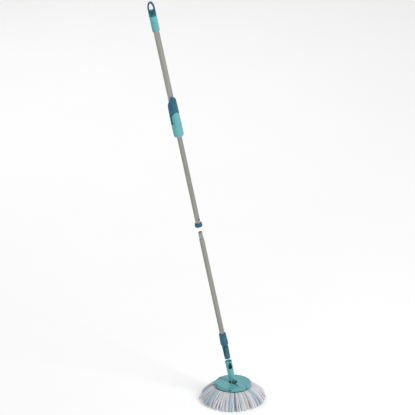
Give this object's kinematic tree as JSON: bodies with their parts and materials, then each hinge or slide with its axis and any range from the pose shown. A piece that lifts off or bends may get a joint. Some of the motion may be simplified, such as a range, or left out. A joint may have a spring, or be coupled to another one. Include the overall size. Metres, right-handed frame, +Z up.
{
  "type": "spin mop",
  "caption": "Spin mop shown pulled apart at its two plug joints: telescopic pump pole with grips and hanging eye, lower pole, and round head with a microfibre fringe. It slides together.",
  "frame": {"origin": "on the floor under the middle of the mop head", "axes": "+Z up; the pole leans 11.27 degrees from upright towards -X; -Y is the side seen from the front, and the latch side faces 20 degrees round from it towards +X"},
  "size_m": [0.4018, 0.227, 1.4645],
  "materials": {
    "grey_tube": "satin grey coated steel tube with a fine lengthwise brush",
    "spigot_steel": "drawn steel, plain",
    "bright_steel": "zinc-plated steel",
    "teal_plastic": "moulded, fine satin grain",
    "blue_plastic": "moulded, satin",
    "white_nylon": "plain moulded nylon",
    "joint_dark": "dark slate moulded acetal",
    "yarn": "twisted microfibre yarn, white with pale blue and slate strands"
  },
  "bodies": {
    "upper_pole": {"hang_loop": "blue_plastic", "top_grip": "teal_plastic", "outer_tube": "grey_tube", "rod_anchor": "white_nylon", "anchor_pin": "bright_steel", "twist_rod": "bright_steel", "rod_stop": "bright_steel", "grip_body": "blue_plastic", "collet": "white_nylon"},
    "lock": {"lock_sleeve": "teal_plastic"},
    "carriage": {"guide_bush": "white_nylon", "thrust_washer": "bright_steel"},
    "spinner": {"inner_tube": "grey_tube", "retaining_clip": "bright_steel", "clutch_cup": "white_nylon", "drive_nut": "white_nylon", "clutch_cap": "white_nylon", "end_collar": "blue_plastic"},
    "lower_pole": {"lower_tube": "grey_tube", "spigot": "spigot_steel", "click_spring": "bright_steel", "connector": "blue_plastic", "latch_tongue": "blue_plastic"},
    "socket": {"head_socket": "teal_plastic", "socket_pin": "bright_steel"},
    "joint_cross": {"knuckle": "joint_dark"},
    "mop_head": {"mop_plate": "teal_plastic", "pivot_base": "joint_dark", "base_screws": "bright_steel", "yarn_carrier": "teal_plastic", "fringe": "yarn"}
  },
  "joints": [
    {"name": "lock_slide", "type": "slide", "parent": "upper_pole", "child": "lock", "axis": [0.1954, 0, -0.9807], "range_m": [0, 0.008]},
    {"name": "pump", "type": "slide", "parent": "upper_pole", "child": "carriage", "axis": [-0.1954, 0, 0.9807], "range_m": [0, 0.28]},
    {"name": "spin", "type": "hinge", "parent": "carriage", "child": "spinner", "pos_m": [0, 0, 0.06], "axis": [-0.1954, 0, 0.9807], "continuous": true},
    {"name": "pole_plug", "type": "slide", "parent": "spinner", "child": "lower_pole", "axis": [-0.1954, 0, 0.9807], "range_m": [0, 0.0543], "deforming": ["click_spring"]},
    {"name": "head_plug", "type": "slide", "parent": "lower_pole", "child": "socket", "axis": [-0.1954, 0, 0.9807], "range_m": [0, 0.063], "deforming": ["latch_tongue"]},
    {"name": "tilt_front", "type": "hinge", "parent": "socket", "child": "joint_cross", "pos_m": [0, 0, 0.06], "axis": [0.9236, 0.3362, 0.1841], "range_deg": [-30, 25]},
    {"name": "tilt_side", "type": "hinge", "parent": "joint_cross", "child": "mop_head", "pos_m": [0, 0, 0.06], "axis": [0.342, -0.9397, 0], "range_deg": [-20, 40]}
  ],
  "couplings": [
    {"joint": "spin", "follows": "pump", "rad_per_m": 78.54}
  ]
}
